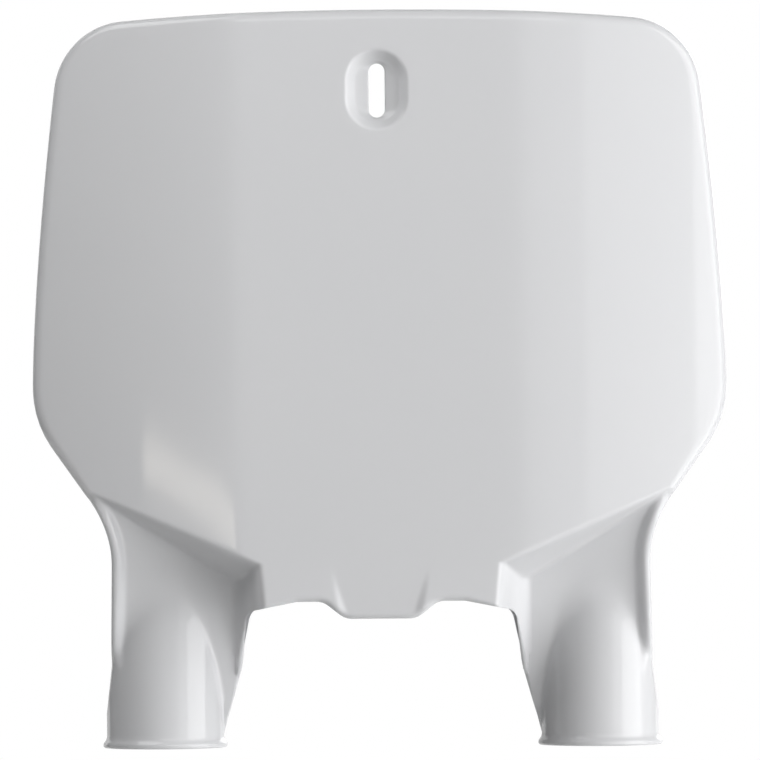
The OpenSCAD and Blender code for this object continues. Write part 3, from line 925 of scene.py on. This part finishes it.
# %% Stage and lamps
FLOOR_DROP = 1.0
FLOOR_Y = 0.5
BACKDROP_Y = 4.4
STAGE_SIZE = 8.0
STAGE_COLOUR = (0.8, 0.8, 0.8, 1.0)
WHITE = (1.0, 1.0, 1.0, 1.0)
WORLD_GLOW = 0.15
LAMP_AIM = Vector((0, 0, 0.15))


def pale_stage():
    material = bpy.data.materials.new("pale_stage")
    material.use_nodes = True
    tree = material.node_tree
    tree.nodes.clear()
    start = Sum(tree, None)
    ray = start.node("ShaderNodeLightPath")
    diffuse = start.node("ShaderNodeBsdfDiffuse", Color=STAGE_COLOUR)
    glow = start.node("ShaderNodeEmission", Color=WHITE, Strength=1.0)
    both = start.node("ShaderNodeMixShader")
    camera_ray, glossy_ray, clear_ray = [
        Sum(tree, ray.outputs[name]) for name in ("Is Camera Ray", "Is Glossy Ray", "Is Transmission Ray")
    ]
    tree.links.new((camera_ray + glossy_ray + clear_ray).socket, both.inputs[0])
    tree.links.new(diffuse.outputs[0], both.inputs[1])
    tree.links.new(glow.outputs[0], both.inputs[2])
    out = start.node("ShaderNodeOutputMaterial")
    tree.links.new(both.outputs[0], out.inputs["Surface"])
    return material


def add_sheet(name, at, turn):
    sheet_bm = bmesh.new()
    bmesh.ops.create_grid(sheet_bm, x_segments=1, y_segments=1, size=STAGE_SIZE / 2)
    bmesh.ops.transform(sheet_bm, matrix=Matrix.Translation(at) @ turn, verts=sheet_bm.verts)
    data = bpy.data.meshes.new(name)
    sheet_bm.to_mesh(data)
    sheet_bm.free()
    data.materials.append(stage_finish)
    obj = bpy.data.objects.new(name, data)
    bpy.context.scene.collection.objects.link(obj)
    return obj


stage_finish = pale_stage()
add_sheet("floor", Vector((0, FLOOR_Y, -FLOOR_DROP)), Matrix.Identity(4))
add_sheet("backdrop", Vector((0, BACKDROP_Y, 0.0)), Matrix.Rotation(math.radians(90), 4, "X"))


def add_lamp(name, at, size, watts, colour=(1.0, 1.0, 1.0), roll=0.0):
    light = bpy.data.lights.new(name, "AREA")
    light.shape = "RECTANGLE"
    light.size, light.size_y = size
    light.energy = watts
    light.color = colour
    lamp = bpy.data.objects.new(name, light)
    bpy.context.scene.collection.objects.link(lamp)
    aim = (LAMP_AIM - Vector(at)).to_track_quat("-Z", "Y")
    lamp.matrix_world = Matrix.Translation(at) @ aim.to_matrix().to_4x4() @ Matrix.Rotation(roll, 4, "Z")
    return lamp


add_lamp("key", (1.45, -0.68, 0.15), (1.2, 1.9), 18.0)
add_lamp("soft", (1.65, -0.95, 0.15), (2.6, 2.2), 19.5)
add_lamp("sky", (-0.45, -0.35, 0.8), (0.5, 0.5), 2.6)
add_lamp("front", (0.3, -2.6, 1.3), (1.6, 0.9), 9.5)
add_lamp("window", (-0.74, -1.9, 0.132), (0.75, 0.035), 0.45, (1.0, 0.94, 0.84), math.radians(-5.0))
add_lamp("rear", (0.9, 2.2, 0.9), (1.2, 1.2), 9.0)
world = bpy.data.worlds.new("studio")
bpy.context.scene.world = world
world.use_nodes = True
world.node_tree.nodes["Background"].inputs["Color"].default_value = WHITE
world.node_tree.nodes["Background"].inputs["Strength"].default_value = WORLD_GLOW
bpy.context.scene.view_settings.view_transform = "Standard"
